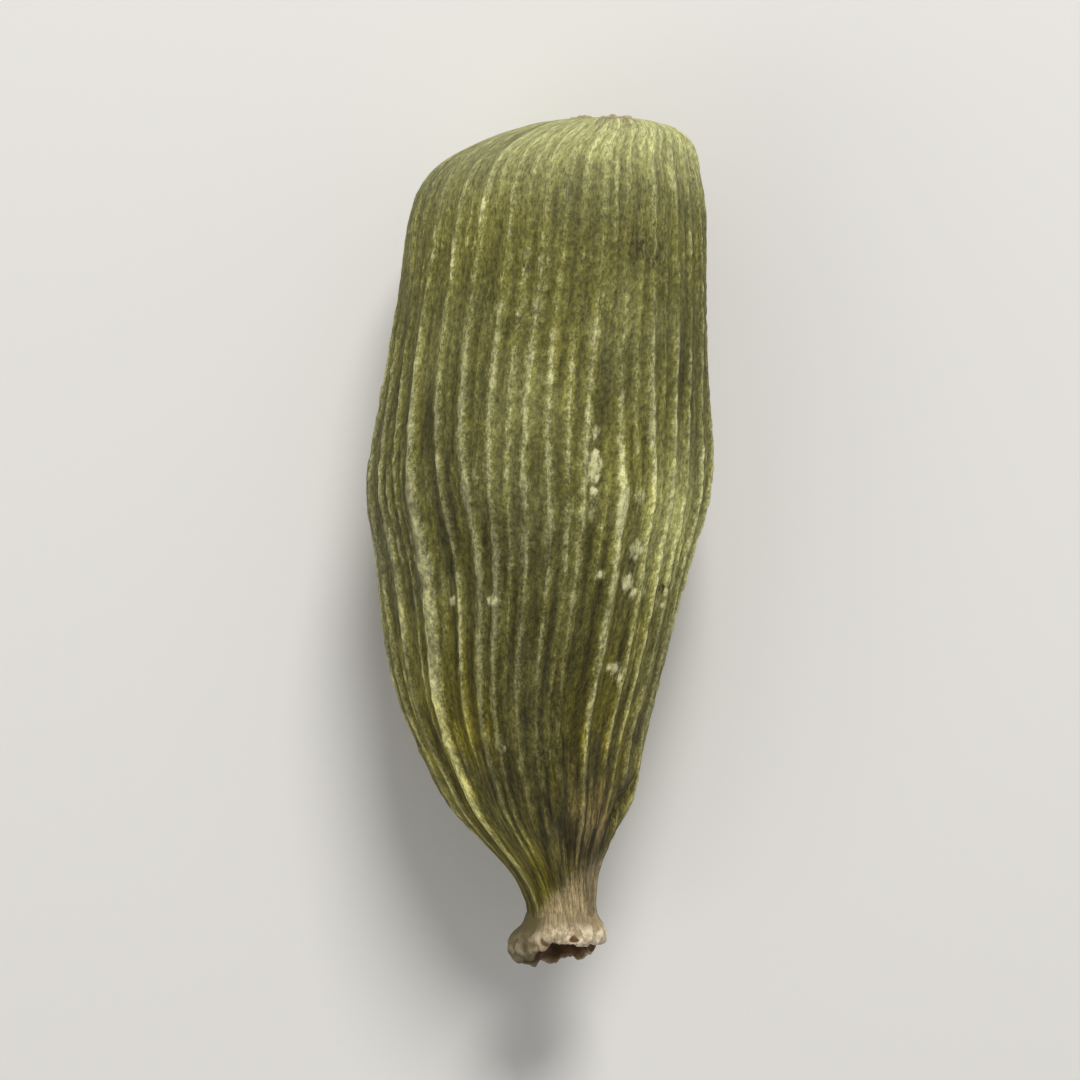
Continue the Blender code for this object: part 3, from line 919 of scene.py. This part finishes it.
def makeStyleStump(material):
    parts = styleStump
    base, top, wide, bore = parts["base"], parts["tip"], parts["radius"], parts["bore"]
    # station and radius of each ring, up the outside and down into the bore
    profile = [(base, 0.0), (base, wide * 1.15)]
    for i in range(1, parts["rings"] + 1):
        share = i / parts["rings"]
        profile.append((base + (top - base) * share, wide * (1.1 - 0.12 * share)))
    profile += [(top + 0.02, wide * 0.82), (top, bore * 1.3), (top - parts["boreDepth"] * 0.6, bore),
                (top - parts["boreDepth"], 0.0)]

    def place(column, ring):
        station, radius = profile[ring]
        angle = fullTurn * column / parts["columns"]
        tip = ramp(base + 0.2, top, station)
        station += tip * (0.07 * around(angle, 3.0, 1.5) + 0.04 * around(angle, 6.0, 5.0))
        if radius:
            radius *= 1 + 0.2 * around(angle, station * 1.5, 1.6)
        grain = Vector((math.cos(angle), station, math.sin(angle)))
        # painted shade down the bore
        inside = 0.75 if ring >= len(profile) - 2 else 0.55 - 0.3 * tip
        return inFrame(station, radius, angle), grain, (inside, 0.25 * tip, 0.0)

    bm = rollSheet(parts["columns"], len(profile), place, cupLayers)
    return makePiece("styleStump", bm, material)


# Stalk scar at the blunt end

scar = {
    "columns": 260,
    "rings": 60,
    "radius": 0.98,
    "edgeStation": 0.3,
    "rimRadius": 0.68,
    "rimHeight": 0.02,
    "pitDepth": 0.28,
    "crumble": 0.06,
    "paleness": 0.3,
    "skirt": 0.9,  # past this share of the rings the scar's edge turns in under the husk
    "furthestOut": -0.24,  # no crumb stands out past this station
}


def makeScar(material):
    parts = scar
    columns, rings, skirt = parts["columns"], parts["rings"], parts["skirt"]

    def place(column, ring):
        angle = fullTurn * column / columns
        share = ring / (rings - 1)
        if ring == rings - 1:
            station, radius = parts["edgeStation"] + share - skirt, 0.0
        elif share > skirt:
            station = parts["edgeStation"] + share - skirt
            radius = parts["radius"] * (1 - share) / (1 - skirt)
        else:
            radius = parts["radius"] * share / skirt
            rim = bump(radius - parts["rimRadius"], 0.2)
            pit = 1 - ramp(0.1, parts["rimRadius"], radius)
            station = -parts["rimHeight"] * rim + parts["pitDepth"] * pit
            station += 0.35 * ramp(parts["rimRadius"] + 0.1, parts["radius"], radius)
            spot = Vector((math.cos(angle) * radius, math.sin(angle) * radius, 3.0))
            crumbs = noise.noise(spot * 4.5) + 0.6 * noise.noise(spot * 10.0)
            station += parts["crumble"] * crumbs * ramp(0.0, 0.25, radius)
        grain = Vector((math.cos(angle) * radius, station, math.sin(angle) * radius))
        # painted shade where the scar sinks into its pit
        inside = ramp(0.02, 0.25, station) * (1 - ramp(0.62, 0.8, radius))
        pale = bump(radius - parts["rimRadius"], 0.3) * parts["paleness"]
        station = max(station, parts["furthestOut"])
        return inFrame(station, radius, angle), grain, (inside * 0.8, pale, 0.3)

    bm = rollSheet(columns, rings, place, cupLayers)
    return makePiece("stalkScar", bm, material)


# Floor, lights and camera, in metres

stage = {"halfSize": 1.5, "below": 0.00002, "colour": (0.84, 0.83, 0.81, 1.0), "roughness": 0.85}


def makeStage():
    bm = bmesh.new()
    bmesh.ops.create_grid(bm, x_segments=1, y_segments=1, size=stage["halfSize"])
    mesh = bpy.data.meshes.new("floor")
    bm.to_mesh(mesh)
    bm.free()
    floor = bpy.data.objects.new("floor", mesh)
    bpy.context.scene.collection.objects.link(floor)
    floor.location.z = -stage["below"]
    material, nodes, _ = newMaterial("paleFloor")
    nodes["Principled BSDF"].inputs["Base Color"].default_value = stage["colour"]
    nodes["Principled BSDF"].inputs["Roughness"].default_value = stage["roughness"]
    mesh.materials.append(material)


light = {
    "key": {"place": (0.03, 0.145, 0.14), "size": 0.08, "power": 0.32, "colour": (1.0, 0.985, 0.96)},
    "fill": {"place": (-0.13, -0.08, 0.12), "size": 0.14, "power": 0.05, "colour": (1.0, 0.985, 0.955)},
    "sky": (1.0, 0.99, 0.97, 1.0),
    "skyStrength": 0.31,
}


def makeLights():
    for name in ("key", "fill"):
        data = light[name]
        lamp = bpy.data.lights.new(name, "AREA")
        lamp.shape = "DISK"
        lamp.size = data["size"]
        lamp.energy = data["power"]
        lamp.color = data["colour"]
        lampObject = bpy.data.objects.new(name, lamp)
        lampObject.location = data["place"]
        lampObject.rotation_euler = (Vector(data["place"]) * -1).to_track_quat("-Z", "Y").to_euler()
        bpy.context.scene.collection.objects.link(lampObject)
    world = bpy.data.worlds.new("softSky")
    world.use_nodes = True
    world.node_tree.nodes["Background"].inputs["Color"].default_value = light["sky"]
    world.node_tree.nodes["Background"].inputs["Strength"].default_value = light["skyStrength"]
    bpy.context.scene.world = world


# looks straight down; at the height called middle the picture takes in what wide says
view = {"lens": 100, "sensor": 36, "middle": 0.0035, "wide": 0.0235, "near": 0.005, "far": 10}


def makeCamera():
    data = bpy.data.cameras.new("above")
    data.lens = view["lens"]
    data.sensor_width = view["sensor"]
    data.clip_start = view["near"]
    data.clip_end = view["far"]
    camera = bpy.data.objects.new("above", data)
    camera.location = (0.0, 0.0, view["middle"] + view["wide"] * view["lens"] / view["sensor"])
    bpy.context.scene.collection.objects.link(camera)
    bpy.context.scene.camera = camera


huskMaterial = makeHuskMaterial()
cupMaterial = makeCupMaterial()
makeHusk(huskMaterial)
makeFlowerCup(cupMaterial)
makeStyleStump(cupMaterial)
makeScar(cupMaterial)
makeStage()
makeLights()
makeCamera()
bpy.context.scene.view_settings.view_transform = "Standard"
